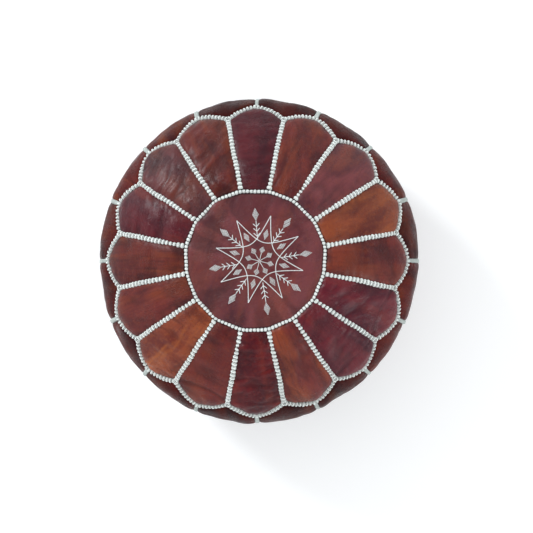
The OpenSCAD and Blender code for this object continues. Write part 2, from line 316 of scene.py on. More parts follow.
class Look:
    """A material with a Principled shader, and short ways to add nodes to it."""

    def __init__(self, name, **constants):
        self.material = bpy.data.materials.new(name)
        self.material.use_nodes = True
        self.shader = self.material.node_tree.nodes["Principled BSDF"]
        for key, value in constants.items():
            self.shader.inputs[key.replace("_", " ")].default_value = value

    def put(self, socket, value):
        if isinstance(value, bpy.types.NodeSocket):
            self.material.node_tree.links.new(value, socket)
        else:
            socket.default_value = value

    def add(self, kind, inputs, out=0, **settings):
        node = self.material.node_tree.nodes.new("ShaderNode" + kind)
        for key, value in settings.items():
            setattr(node, key, value)
        for key, value in inputs.items():
            self.put(node.inputs[key], value)
        return node.outputs[out]

    def place(self, size, turn, seed):
        """Object coordinates turned about Z and counted in swells of the given size."""
        size = size if isinstance(size, tuple) else (size, size, size)
        shift = (0.37 * seed, 0.53 * seed, 0.71 * seed)
        return self.add("Mapping", {"Vector": self.add("TexCoord", {}, out=3), "Location": shift,
                                    "Rotation": (0, 0, turn), "Scale": size}, vector_type="TEXTURE")

    def noise(self, size, turn=0.0, seed=0, detail=2.0, distort=0.0):
        return self.add("TexNoise", {"Vector": self.place(size, turn, seed), "Scale": 1.0, "Detail": detail,
                                     "Distortion": distort})

    def cells(self, size, seed=0, feature="F1"):
        return self.add("TexVoronoi", {"Vector": self.place(size, 0.0, seed), "Scale": 1.0}, feature=feature)

    def ribs(self, size, turn=0.0, distort=0.0):
        """Bands of the given size across the direction turn."""
        place = self.place(size, turn, 0)
        return self.add("TexWave", {"Vector": place, "Scale": 0.314, "Distortion": distort, "Detail": 1.0})

    def stored(self, name):
        return self.add("Attribute", {}, out=2, attribute_name=name)

    def ramp(self, value, low, high, to_low=0.0, to_high=1.0):
        return self.add("MapRange", {"Value": value, "From Min": low, "From Max": high, "To Min": to_low,
                                     "To Max": to_high}, interpolation_type="SMOOTHSTEP")

    def math(self, operation, first, second=0.0):
        return self.add("Math", {0: first, 1: second}, operation=operation)

    def mix(self, factor, first, second, blend="MIX"):
        return self.add("Mix", {0: factor, 6: first, 7: second}, out=2, data_type="RGBA", blend_type=blend)

    def bump(self, height, distance, under=None):
        inputs = {"Height": height, "Distance": distance, "Strength": 1.0}
        if under is not None:
            inputs["Normal"] = under
        return self.add("Bump", inputs)

    def finish(self, color, roughness, normal):
        self.put(self.shader.inputs["Base Color"], color)
        self.put(self.shader.inputs["Roughness"], roughness)
        self.put(self.shader.inputs["Normal"], normal)
        return self.material


def tone(color, share=1.0):
    return tuple(c * share for c in color) + (1.0,)


# Hides: the dye's usual colour, where it lies thick, and where it is rubbed thin; darker copies of the second
# colour also give the painted shade in seams and folds
HIDES = {
    "chestnut": ((0.115, 0.017, 0.015), (0.045, 0.007, 0.009), (0.190, 0.038, 0.012)),
    "tan": ((0.200, 0.044, 0.018), (0.090, 0.016, 0.012), (0.290, 0.080, 0.020)),
    "rose": ((0.130, 0.031, 0.035), (0.055, 0.014, 0.019), (0.180, 0.042, 0.022)),
    "aubergine": ((0.075, 0.008, 0.013), (0.034, 0.004, 0.009), (0.115, 0.015, 0.011)),
    "oxblood": ((0.085, 0.006, 0.008), (0.034, 0.003, 0.006), (0.150, 0.020, 0.010)),
    "natural": ((0.260, 0.110, 0.050), (0.150, 0.060, 0.028), (0.340, 0.160, 0.075)),
}


def leather(name, hide, turn, grain, seed, shade=1.0, streaks=0.7, gloss=0.17):
    """Glazed goat leather: mottled, streaked along turn, crinkled along grain, with painted shade in its
    folds and along its seams.
    """
    base, deep, thin = HIDES[hide]
    look = Look(name, IOR=1.5, Specular_IOR_Level=gloss, Coat_Weight=gloss / 3, Coat_Roughness=0.25)
    blotch = look.noise((0.09, 0.05, 0.07), turn, seed, detail=4.0, distort=0.4)
    warm = look.noise((0.13, 0.035, 0.07), turn, seed + 3, detail=4.0, distort=0.5)
    streak = look.noise((0.040, 0.0035, 0.040), turn, seed + 4, detail=3.0, distort=0.3)
    fleck = look.noise(0.005, turn, seed + 5, detail=4.0)
    color = look.mix(look.ramp(blotch, 0.32, 0.62), tone(deep, shade), tone(base, shade))
    color = look.mix(look.ramp(warm, 0.46, 0.70, 0.0, streaks), color, tone(thin, shade))
    color = look.mix(look.ramp(streak, 0.45, 0.75, 0.0, 0.6 * streaks), color, tone(deep, shade))
    color = look.mix(look.ramp(fleck, 0.45, 0.75, 0.0, 0.22), color, tone(thin, shade))
    edge, fold = look.stored("edge"), look.stored("fold")
    # Painted shade: the hollows of the folds are darkened towards a darker copy of the hide
    color = look.mix(look.ramp(fold, -0.9, 0.1, 0.45, 0.0), color, tone(deep, 0.6 * shade))
    # Painted shade: a band a few mm wide beside every seam is darkened, where the sunk edges and the stitches
    # would shade it
    color = look.mix(look.ramp(edge, 0.10, 0.32, 0.85, 0.0), color, tone(deep, 0.25 * shade))
    pores = look.ramp(look.cells(0.0042, seed), 0.10, 0.16)
    color = look.mix(look.ramp(pores, 0.0, 1.0, 0.4, 0.0), color, tone(deep, 0.5 * shade))
    crinkle = look.noise((0.011, 0.0038, 0.007), grain, seed + 9, detail=3.0, distort=1.6)
    creased = look.ramp(look.noise(0.045, seed=seed + 6), 0.40, 0.62, 0.25, 1.0)
    ridges = look.math("MULTIPLY", look.math("ABSOLUTE", look.math("SUBTRACT", crinkle, 0.5)), creased)
    normal = look.bump(ridges, 2.4 * MM)
    normal = look.bump(look.cells(0.0011, seed + 2), 0.10 * MM, normal)
    normal = look.bump(pores, 0.08 * MM, normal)
    wax = look.noise(0.028, seed=seed + 11, detail=3.0)
    return look.finish(color, look.ramp(wax, 0.3, 0.7, 0.23, 0.46), normal)


def thread(name, color, roughness, sheen=0.3, ply=0.0011):
    """Twisted cotton: fibres across the thread and a little soiling."""
    look = Look(name, Sheen_Weight=sheen, Sheen_Roughness=0.4)
    soil = look.noise(0.018, seed=2, detail=3.0)
    fibre = look.noise((ply, ply * 0.4, ply), turn=0.6, seed=4, detail=2.0)
    shade = look.mix(look.ramp(soil, 0.35, 0.7), tone(color, 0.90), tone(color))
    shade = look.mix(look.ramp(fibre, 0.35, 0.65, 0.0, 0.25), shade, tone(color, 0.7))
    rough = look.ramp(soil, 0.3, 0.7, roughness, roughness + 0.1)
    return look.finish(shade, rough, look.bump(fibre, 0.25 * MM))


def woven(name, color, pitch, turn=0.0):
    """Plain weave with thicker yarns here and there."""
    look = Look(name, Sheen_Weight=0.25, Sheen_Roughness=0.5)
    warp, weft = look.ribs(pitch, turn, 0.3), look.ribs(pitch, turn + math.pi / 2, 0.3)
    weave = look.math("MULTIPLY", warp, weft)
    slub = look.noise((0.03, pitch * 1.5, 0.03), turn, seed=3, detail=2.0)
    shade = look.mix(look.ramp(weave, 0.0, 0.6), tone(color, 0.72), tone(color))
    shade = look.mix(look.ramp(slub, 0.6, 0.75, 0.0, 0.3), shade, tone(color, 0.75))
    return look.finish(shade, look.ramp(slub, 0.3, 0.7, 0.8, 0.95), look.bump(weave, pitch * 0.4))


def wadding():
    """Loose cotton fibre."""
    look = Look("cotton_wadding", Sheen_Weight=0.5, Sheen_Roughness=0.6)
    fluff = look.noise(0.006, seed=1, detail=8.0, distort=1.2)
    shade = look.mix(look.ramp(fluff, 0.3, 0.7), tone((0.66, 0.63, 0.56)), tone((0.82, 0.80, 0.74)))
    return look.finish(shade, look.ramp(fluff, 0.2, 0.8, 0.9, 1.0), look.bump(fluff, 2 * MM))


def brass():
    """Antiqued brass: brown in the hollows, rubbed bright in patches."""
    look = Look("zip_brass", Metallic=1.0)
    age = look.noise(0.004, seed=5, detail=5.0)
    rub = look.noise((0.003, 0.0004, 0.001), seed=8, detail=3.0)
    shade = look.mix(look.ramp(age, 0.4, 0.62), tone((0.16, 0.085, 0.035)), tone((0.56, 0.36, 0.14)))
    return look.finish(shade, look.ramp(age, 0.3, 0.7, 0.5, 0.28), look.bump(rub, 0.03 * MM))


# ---- The skin before it is puffed ----

SEAM_DEPTH = 3.2 * MM
RING_DEPTH = 4.2 * MM
LEATHER = 1.8 * MM
HELD_BELOW = 12 * MM


class Patch:
    """A panel of the skin: a grid of points whose rim lies on seams, and how far it may slacken."""

    def __init__(self, name, points, slack):
        self.name, self.points, self.slack = name, points, slack


def well(distance, reach):
    """0 on a seam, rising steeply and then level to 1 at reach from it."""
    t = np.clip(distance / reach, 0, 1)
    return np.sqrt(t * (2 - t))


def grid(across, outward):
    return np.meshgrid(np.linspace(-1, 1, across + 1), np.linspace(0, 1, outward + 1), indexing="ij")


def panel_points(phi, along, u, v, crown, start_depth=SEAM_DEPTH):
    """A panel's points: sunk on its seams and raised to crown, a height, between them and off the floor."""
    radius = np.interp(along, ALONG, SECTION_R)
    span = along[:, -1:] - along[:, :1]
    beside = well((1 - np.abs(u)) * PITCH / 2 * radius, 15 * MM)
    rise = beside * well(np.minimum(v, 1 - v) * span, 14 * MM)
    depth = SEAM_DEPTH + (start_depth - SEAM_DEPTH) * np.clip(1 - v * 8, 0, 1)
    off_floor = np.clip((np.interp(along, ALONG, SECTION_Z) - 2 * MM) / (20 * MM), 0, 1)
    on_floor = -depth * (1 - beside) * np.clip((1 - v) * span / (12 * MM), 0, 1)
    return on_cover(phi, along, (crown * rise - depth * (1 - rise)) * off_floor + on_floor * (1 - off_floor))


def petal_patch(k):
    u, v = grid(20, 30)
    low, high = petal_seam_phi(k - 1, v), petal_seam_phi(k, v)
    phi = low + (high - low) * (u + 1) / 2
    inner = ring_s(phi)
    along = inner + (scallop_s(phi) - inner) * v
    crown = (1.2 + 2.8 * np.exp(-((v - 0.16) / 0.12) ** 2) + 1.4 * np.exp(-((v - 0.9) / 0.12) ** 2)) * MM
    return Patch(f"petal_{k + 1:02d}", panel_points(phi, along, u, v, crown, RING_DEPTH), 1.0)


def side_patch(k):
    u, v = grid(22, 58)
    low, high = side_seam_phi(k, v), side_seam_phi(k + 1, v)
    phi = low + (high - low) * (u + 1) / 2
    outer = scallop_s(phi)
    points = panel_points(phi, outer + (END_S - outer) * v, u, v, 1.0 * MM)
    return Patch(f"side_panel_{k + 1:02d}", points, 1.0)


def unit_disc(steps):
    """A grid of azimuths and radii that covers a disc evenly."""
    y, x = np.meshgrid(*[np.linspace(-1, 1, steps + 1)] * 2, indexing="ij")
    x, y = x * np.sqrt(1 - y * y / 2), y * np.sqrt(1 - x * x / 2)
    return np.arctan2(y, x), np.hypot(x, y)


def medallion_patch():
    phi, t = unit_disc(40)
    lift = -SEAM_DEPTH * (1 - well((1 - t) * RING_S, 12 * MM))
    return Patch("medallion", on_cover(phi, ring_s(phi) * t, lift), 0.35)


# ---- Cloth ----

FRAMES = 16
PRESSURE = 3.4


def cloth_on(skin):
    """Cloth that holds the rims, slackens the panels by up to 3.5% and blows them outward."""
    cloth = skin.modifiers.new("Cloth", "CLOTH")
    settings = cloth.settings
    settings.quality = 5
    settings.mass = 0.3
    settings.tension_stiffness = settings.compression_stiffness = 25
    settings.shear_stiffness = 12
    settings.bending_stiffness = 3
    settings.vertex_group_mass = "held"
    settings.vertex_group_shrink = "slack"
    settings.shrink_min, settings.shrink_max = 0.0, -0.035
    settings.use_pressure = True
    settings.uniform_pressure_force = PRESSURE
    settings.effector_weights.gravity = 0
    cloth.collision_settings.use_collision = False
    cloth.point_cache.frame_start, cloth.point_cache.frame_end = 1, FRAMES


def puff_up(patches):
    """Puffs all the patches at once with Blender's Cloth, their rims held on the seams."""
    starts = np.cumsum([0] + [p.points[..., 0].size for p in patches])
    points = np.concatenate([p.points.reshape(-1, 3) for p in patches])
    skin = build("skin", points, np.concatenate([quads(numbered(p.points.shape, s))
                                                 for p, s in zip(patches, starts)]))
    held = np.concatenate([rim_loop(p.points.shape) + s for p, s in zip(patches, starts)])
    held = np.union1d(held, np.flatnonzero(points[:, 2] < HELD_BELOW))
    skin.vertex_groups.new(name="held").add(held.tolist(), 1.0, "REPLACE")
    slack = skin.vertex_groups.new(name="slack")
    for patch, start, end in zip(patches, starts, starts[1:]):
        slack.add(list(range(start, end)), patch.slack, "REPLACE")
    cloth_on(skin)
    for step in range(1, FRAMES + 1):
        bpy.context.scene.frame_set(step)
    done = skin.evaluated_get(bpy.context.evaluated_depsgraph_get())
    puffed = np.zeros(points.size)
    done.data.vertices.foreach_get("co", puffed)
    bpy.data.objects.remove(skin)
    for patch, start, end in zip(patches, starts, starts[1:]):
        patch.points = puffed.reshape(-1, 3)[start:end].reshape(patch.points.shape)


# ---- Wrinkles ----

def finer(points):
    """Twice as fine a grid through the same points."""
    for axis in (0, 1):
        p = np.moveaxis(points, axis, 0)
        padded = np.concatenate([2 * p[:1] - p[1:2], p, 2 * p[-1:] - p[-2:-1]])
        fine = np.empty((2 * len(p) - 1, *p.shape[1:]))
        fine[::2], fine[1::2] = p, (9 * (padded[1:-2] + padded[2:-1]) - padded[:-3] - padded[3:]) / 16
        points = np.moveaxis(fine, 0, axis)
    return points


def soft_noise(x, y, seed):
    """Smooth noise of about -1 to 1 over arrays of coordinates, one unit to a swell."""
    x, y = np.broadcast_arrays(x, y)
    values = [noise.noise((a, b, seed * 7.3)) for a, b in zip(x.ravel(), y.ravel())]
    return np.reshape(values, x.shape) * 1.6


def creases(x, y, seed):
    """Rounded folds of about -1 to 1 with sharp valleys between them."""
    return np.abs(soft_noise(x, y, seed)) ** 0.7 * 2.2 - 1.0


# Where the seeds of each kind of panel start
SEEDS = {"petal": 0, "side_panel": 40, "medallion": 90}
# Each petal's folds: the direction they run in degrees from +X, their spacing and their height in mm
FOLDS = [(100, 20, 0.9), (30, 22, 0.8), (50, 22, 0.8), (75, 18, 1.1),
         (8, 15, 1.1), (48, 18, 1.6), (58, 18, 1.8), (85, 15, 1.3),
         (88, 22, 0.8), (20, 20, 0.9), (145, 14, 1.6), (150, 18, 1.0),
         (5, 13, 2.2), (120, 18, 1.1), (60, 17, 1.3), (25, 16, 1.5)]
# Petals with a crease across the outer end, and how deep it is in mm
END_CREASES = {0: 0.5, 4: 0.4, 11: 1.3, 12: 0.8, 14: 1.1, 15: 1.4}


def petal_folds(k, points, y, seed):
    """Heights of a petal's folds, from their directions in the plane and their lengths y from the ring."""
    heading, spacing, height = FOLDS[k]
    turn = math.radians(heading)
    ahead = points[..., 0] * math.cos(turn) + points[..., 1] * math.sin(turn)
    aside = points[..., 1] * math.cos(turn) - points[..., 0] * math.sin(turn)
    spacing, height = spacing * MM, height * MM
    rise = 0.9 * height * soft_noise(ahead / (2.6 * spacing), aside / spacing, seed)
    rise = rise + 0.4 * height * creases(ahead / (1.6 * spacing), aside / (0.6 * spacing), seed + 3)
    across = np.linspace(-1, 1, len(points))[:, None]
    line = y[[0, -1], -1].mean() - (4 + 7 * (1 - across ** 2) * (k % 2)) * MM
    return rise - END_CREASES.get(k, 0.0) * MM * np.exp(-((y - line) / (3.5 * MM)) ** 2)


def side_folds(x, y, seed):
    """Heights of a side panel's folds: upright ones, and level ones where it turns under."""
    low = np.clip(y / y[:, -1:] * 2.4 - 0.9, 0, 1)
    upright = creases(x / (32 * MM) + seed, y / (110 * MM), seed) * 0.5 * MM
    return upright + low * creases(x / (90 * MM), y / (17 * MM) + seed, seed + 3) * 0.9 * MM


def medallion_folds(points, seed):
    """Heights of the medallion's folds, which run in from its seam."""
    radius = np.hypot(points[..., 0], points[..., 1])
    toward = points[..., :2] / np.maximum(radius, MM)[..., None]
    fan = soft_noise(4.5 * toward[..., 0], 4.5 * toward[..., 1], seed) * (radius / RING_R) ** 1.5
    flat = creases(points[..., 0] / (60 * MM), points[..., 1] / (24 * MM), seed)
    return (2.0 * fan + 0.5 * flat) * MM


def crumple(patch):
    """Raises wrinkles on a puffed panel, fading out on its seams, and marks its folds and edges for the
    leather's painted shade.
    """
    points = finer(patch.points)
    x = np.cumsum(np.linalg.norm(np.diff(points, axis=0, prepend=points[:1]), axis=2), 0)
    y = np.cumsum(np.linalg.norm(np.diff(points, axis=1, prepend=points[:, :1]), axis=2), 1)
    to_side, to_end = np.minimum(x, x[-1:] - x), np.minimum(y, y[:, -1:] - y)
    to_seam = np.minimum(to_side, to_end)
    kind, number = patch.name.rsplit("_", 1) if "_" in patch.name else (patch.name, "0")
    seed = int(number) + SEEDS[kind]
    if kind == "petal":
        rise, lump = petal_folds(int(number) - 1, points, y, seed), 1.2 * MM
    elif kind == "side_panel":
        rise, lump = side_folds(x, y, seed), 1.8 * MM
    else:
        rise, lump = medallion_folds(points, seed), 0.5 * MM
    near = np.where(to_side < to_end, y, x)
    pucker = np.cos(near / (8.5 * MM) * math.pi + 5 * soft_noise(near / (50 * MM), seed, seed))
    pucker = pucker * np.exp(-to_seam / (9 * MM)) * 0.6 * MM
    lumps = lump * soft_noise(x / (60 * MM) + seed, y / (60 * MM), seed)
    lift = (rise + lumps + pucker) * well(to_seam, 12 * MM)
    lift = lift * np.clip((points[..., 2] - HELD_BELOW) / (25 * MM), 0, 1)
    patch.points = points + lift[..., None] * grid_normals(points)
    patch.points[..., 2] = np.maximum(patch.points[..., 2], 0.2 * MM)
    # fold and edge drive the leather's painted shade: darker in the folds' hollows and near the seams
    patch.fold = np.clip((rise + pucker) / MM, -1, 1)
    patch.edge = np.clip(to_seam / (20 * MM), 0, 1)


# ---- Cover ----

# Each petal's hide, shade and share of rubbed colour
PETAL_HIDES = [("chestnut", 1.25, 0.4), ("tan", 1.15, 0.4), ("rose", 1.25, 0.5),
               ("chestnut", 1.2, 0.5), ("aubergine", 1.2, 0.2), ("chestnut", 1.0, 0.6),
               ("rose", 0.8, 0.6), ("aubergine", 1.3, 0.6), ("chestnut", 1.0, 0.9),
               ("chestnut", 1.2, 0.6), ("tan", 1.35, 0.7), ("chestnut", 1.2, 0.4),
               ("oxblood", 1.5, 0.4), ("chestnut", 1.4, 0.7), ("aubergine", 1.6, 0.5),
               ("aubergine", 1.7, 0.4)]
# Each side panel's shade and share of rubbed colour, on the chestnut hide
PANEL_SHADES = [(0.62, 0.4), (0.85, 0.4), (0.55, 0.3), (0.48, 0.3), (0.42, 0.4), (0.70, 0.7), (0.85, 0.9),
                (0.70, 0.5), (0.80, 0.3), (0.70, 0.3), (0.62, 0.4), (0.50, 0.4), (0.48, 0.5), (0.50, 0.4),
                (0.75, 0.5), (0.85, 0.5)]


def panel_leather(name):
    """The leather of one panel of the cover, by the panel's name."""
    if name == "medallion":
        return leather("leather_medallion", "rose", 1.2, 0.5, SEEDS[name], 1.25, 0.35)
    kind, number = name.rsplit("_", 1)
    k = int(number) - 1
    if kind == "petal":
        hide, shade, streaks = PETAL_HIDES[k]
        return leather("leather_" + name, hide, k * PITCH, math.radians(FOLDS[k][0]), k, shade, streaks)
    shade, streaks = PANEL_SHADES[k]
    turn = (k + 0.5) * PITCH
    seed = SEEDS[kind] + k
    return leather("leather_" + name, "chestnut", turn, turn + 0.4, seed, shade, streaks, gloss=0.02)


def make_cover():
    """Makes every panel of the top and sides, and gives the medallion's finished points."""
    patches = [medallion_patch()] + [make(k) for make in (petal_patch, side_patch) for k in range(PETALS)]
    puff_up(patches)
    for patch in patches:
        crumple(patch)
        inner = patch.points - LEATHER * grid_normals(patch.points)
        inner[..., 2] = np.maximum(inner[..., 2], 0.4 * MM)
        piece = shell(patch.name + "_leather", patch.points, inner)
        paint(piece, edge=patch.edge, fold=patch.fold)
        dress(piece, patch.name, panel_leather(patch.name))
    return patches[0].points


def make_base():
    """Makes the two halves of the base, flat beside the zip and a little puckered elsewhere."""
    for node, side in (("base_half_rear", 1), ("base_half_front", -1)):
        u, v = grid(110, 50)
        x = u * (BASE_R - 0.8 * MM)
        y = SLOT_EDGE + (np.sqrt(BASE_R ** 2 - x ** 2) - SLOT_EDGE) * v
        to_rim = BASE_R - np.hypot(x, y)
        sag = creases(x / (60 * MM), y / (25 * MM), 7 * side) + soft_noise(x / (45 * MM), y / (45 * MM), side)
        sag = sag * 0.25 * MM * np.clip((y - 18 * MM) / (15 * MM), 0, 1) * np.clip(to_rim / (12 * MM), 0, 1)
        outer = np.stack([side * x, side * y, BASE_LIFT - sag], -1)
        piece = shell(node + "_leather", outer, outer + [0, 0, LEATHER])
        # edge and fold drive the leather's painted shade round the rim, along the slit and in the dents of
        # the sag
        paint(piece, edge=np.clip(np.minimum(to_rim, y - SLOT_EDGE) / (20 * MM), 0.1, 1), fold=sag / MM)
        dress(piece, node, leather("leather_" + node, "natural", 0.3 * side, 0.5, 70 + side, 1.0, 0.12))


# ---- Whip stitches ----

def stitches(phi, along, pitch, half, height, strands=4, steps=8, fill=0.80, dent=0.0, round_off=0.5,
             slant=0.14):
    """Whip stitches over a seam: rounded bundles of strands that rise over both leather edges.

    pitch is the spacing at the seam's start and at its end, half a stitch's half width, height its
    rise over the seam, fill the share of the pitch that thread covers, dent the drop between a
    stitch's two humps, and slant how far a stitch may lean.
    """
    points = on_cover(phi, along, -SEAM_DEPTH)
    ahead = unit(np.gradient(points, axis=0))
    out = unit(on_cover(phi, along, MM) - on_cover(phi, along, -MM))
    across = unit(np.cross(out, ahead))
    length = lengths_along(points)
    spacing = np.interp(length, [0, length[-1]], pitch)
    number = np.concatenate([[0], np.cumsum(np.diff(length) / (spacing[1:] + spacing[:-1]) * 2)])
    count = round(number[-1])
    at = np.interp((np.arange(count) + 0.5) / count * number[-1], number, length)
    size = np.interp(at, length, spacing)[:, None, None] * fill
    fields = [np.stack([np.interp(at, length, field[:, i]) for i in range(3)], 1)[:, None, None]
              for field in (points, ahead, across, out)]
    spot, ahead, across, out = fields
    y = np.linspace(-1, 1, steps)
    lane = ((np.arange(strands) - (strands - 1) / 2) / (strands / 2))[:, None]
    swell = rng.uniform(0.92, 1.08, count)[:, None, None]
    rise = height * swell * (1 - np.abs(y) ** 3) * (1 - round_off * np.abs(lane) ** 2.5)
    rise = rise - dent * np.exp(-(y * 4) ** 2)
    reach = half * swell * (1 - 0.35 * lane ** 2) * y
    slide = size * lane / 2 + rng.uniform(0.0, slant, count)[:, None, None] * half * y
    paths = spot + slide[..., None] * ahead + reach[..., None] * across + rise[..., None] * out
    paths = paths.reshape(-1, steps, 3)
    thick = np.repeat(size[:, 0] / strands * 0.6, strands, axis=0)
    paths[..., 2] = np.maximum(paths[..., 2], thick + 0.2 * MM)
    return tubes(paths, thick, np.repeat(out[:, 0], strands, axis=0))


def ring_stitches():
    phi = np.linspace(0, 2 * math.pi, 1600)
    return [stitches(phi, ring_s(phi), [5.4 * MM] * 2, 2.5 * MM, 3.6 * MM, fill=0.80)]


def petal_stitches():
    for k in range(PETALS):
        t = np.linspace(0, 1, 300)
        phi = petal_seam_phi(k, t)
        inner = ring_s(phi) + 3.0 * MM
        along = inner + (scallop_s(phi) - 0.5 * MM - inner) * t
        yield stitches(phi, along, [5.9 * MM, 5.6 * MM], 4.2 * MM, 5.6 * MM, fill=0.84, dent=1.2 * MM,
                       round_off=0.6)


def scallop_stitches():
    for k in range(PETALS):
        phi = (k - 0.5 + np.linspace(0, 1, 300)) * PITCH
        along = scallop_s(phi) + 0.8 * MM
        yield stitches(phi, along, [5.7 * MM] * 2, 3.9 * MM, 5.8 * MM, fill=0.80, round_off=0.7)


def side_stitches():
    for k in range(PETALS):
        t = np.linspace(0, 1, 500)
        phi = side_seam_phi(k, t)
        start = scallop_s(phi) + 4 * MM
        along = start + (END_S - BASE_LIFT - start) * t
        yield stitches(phi, along, [5.2 * MM] * 2, 3.6 * MM, 4.6 * MM, strands=3, steps=7, fill=0.76,
                       dent=0.9 * MM, round_off=0.6)


def base_stitches():
    """Stitches between the base's rim and the side panels' turned-in edge."""
    count, strands = 215, 3
    turn = (np.arange(count * strands) // strands + 0.5 + (np.arange(count * strands) % strands - 1) * 0.26)
    phi = (turn / count * 2 * math.pi)[:, None]
    y = np.linspace(-1, 1, 7)
    r = BASE_R - 3 * MM + 3.4 * MM * y
    z = BASE_LIFT - 0.9 * MM + 1.2 * MM * y ** 4
    paths = np.stack([r * np.cos(phi), r * np.sin(phi), np.broadcast_to(z, (len(phi), 7))], -1)
    return [tubes(paths, 0.6 * MM, (0, 0, -1))]


def zip_stitches():
    """Two rows of machine stitches, one along each tape."""
    low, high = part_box("zip_stitching")
    count, pitch = 64, 4.6 * MM
    x = low.x + 1.7 * MM + pitch * np.arange(count)[:, None] + 1.8 * MM * np.linspace(-1, 1, 5)
    z = np.broadcast_to(BASE_LIFT - 0.25 * MM + 0.5 * MM * np.linspace(-1, 1, 5) ** 2, x.shape)
    rows = [np.stack([x, np.full(x.shape, y), z], -1) for y in (low.y + 0.4 * MM, high.y - 0.4 * MM)]
    return [tubes(np.concatenate(rows), 0.35 * MM, (0, 0, -1))]


def sew():
    """Makes every seam's thread."""
    cord = thread("seam_thread", (0.90, 0.94, 0.91), 0.75)
    # A darker copy of the seam thread: painted shade that keeps the brightly lit side seams from glaring; the
    # base seam uses it too
    shaded_cord = thread("side_seam_thread", (0.62, 0.67, 0.64), 0.75)
    fine = thread("sewing_thread", (0.55, 0.48, 0.38), 0.6)
    for node, name, parts, material in (
            ("medallion_seam", "medallion_whip_stitches", ring_stitches(), cord),
            ("petal_seams", "petal_whip_stitches", petal_stitches(), cord),
            ("scallop_seam", "scallop_whip_stitches", scallop_stitches(), cord),
            ("side_seams", "side_whip_stitches", side_stitches(), shaded_cord),
            ("base_seam", "base_whip_stitches", base_stitches(), shaded_cord),
            ("zip_stitching", "zip_machine_stitches", zip_stitches(), fine)):
        dress(joined(name, list(parts)), node, material)


# ---- Embroidery on the medallion ----

STAR_MIDDLE, SPRIG_MIDDLE = (7 * MM, 1 * MM), (7 * MM, -1.5 * MM)
# Sprigs that plainly lean, in degrees, where the others lean 1, and sprigs that are long or short, in mm
SPRIG_LEAN = {2: -3, 3: -2}
SPRIG_REACH = {3: -3, 4: -3, 6: 2, 7: -3}
PATTERN_TURN = math.radians(8)
STAR_R, STAR_WAIST, STAR_BEND, STAR_SLOPE = 65 * MM, 25 * MM, 9.8 * MM, 0.635
SPRIG_START, SPRIG_END, SPRIG_DIAMOND = 31.5 * MM, 58 * MM, 67.7 * MM
BARBS_AT, BARB = (36 * MM, 43 * MM, 50 * MM), 4.6 * MM
STAR_DIAMOND, ROSETTE_DIAMOND = 37 * MM, 16.3 * MM
ARMS = 8


def polyline(corners, step=0.9 * MM):
    """Points about step apart along straight lines between corners."""
    corners = np.asarray(corners, float)
    lengths = lengths_along(corners)
    even = np.linspace(0, lengths[-1], max(4, round(lengths[-1] / step)))
    return np.stack([np.interp(even, lengths, corners[:, i]) for i in (0, 1)], 1)


def star_curve():
    """One curve of the star, which joins two points a quarter turn apart."""
    y = np.linspace(-1, 1, 41) * STAR_R * math.sin(2 * math.pi / ARMS)
    return np.stack([STAR_WAIST - STAR_BEND + np.hypot(STAR_BEND, STAR_SLOPE * y), y], 1)


def hatch(center, length, width, count, mirror):
    """Parallel stitches that fill a diamond, each from edge to edge along the other two edges."""
    t = ((np.arange(count) + 0.5) / count)[:, None]
    a, b = length / 2, width / 2 * mirror
    start = np.array([center - a, 0]) + t * np.array([a, -b])
    return [polyline([s, s + [a, b]]) for s in start]


class Embroiderer:
    """Lays thread on the medallion's finished surface."""

    def __init__(self, surface):
        faces = quads(numbered(surface.shape))
        self.tree = BVHTree.FromPolygons(surface.reshape(-1, 3).tolist(), faces.tolist())
        self.middle = STAR_MIDDLE
        self.parts = []

    def on_surface(self, xy, turn):
        """Flat pattern points turned, shifted to the pattern's middle and dropped on the medallion."""
        c, s = math.cos(turn), math.sin(turn)
        x, y = xy[:, 0] * c - xy[:, 1] * s + self.middle[0], xy[:, 0] * s + xy[:, 1] * c + self.middle[1]
        hits = [self.tree.ray_cast(Vector((a, b, 1.0)), Vector((0, 0, -1)))[0] for a, b in zip(x, y)]
        return np.array(hits)

    def rope(self, xy, turn, width=1.3 * MM, twist=2.6 * MM):
        """A line of stem stitch: two plies wound round each other."""
        line = self.on_surface(polyline(xy, 0.5 * MM), turn)
        line[:, 2] += 0.25 * width
        ahead = unit(np.gradient(line, axis=0))
        aside = unit(np.cross(ahead, (0, 0, 1)))
        length = lengths_along(line)
        for half in (0, math.pi):
            a = (length / twist * 2 * math.pi + half)[:, None]
            ply = line + 0.22 * width * (np.cos(a) * aside + np.sin(a) * [0, 0, 1])
            self.parts.append(tubes(ply[None], 0.3 * width, (0, 0, 1), sides=5))

    def satin(self, strands, turn, width=0.75 * MM):
        """Straight stitches side by side, each arched up from its ends."""
        for xy in strands:
            xy = xy + rng.uniform(-0.15, 0.15, (1, 2)) * MM
            line = self.on_surface(xy, turn)
            line[:, 2] += (0.75 * np.sin(np.linspace(0, math.pi, len(line))) ** 0.5 - 0.25) * MM
            self.parts.append(tubes(line[None], width / 2, (0, 0, 1), sides=5))

    def piece(self, name, node, material):
        dress(joined(name, self.parts), node, material)
        self.parts = []


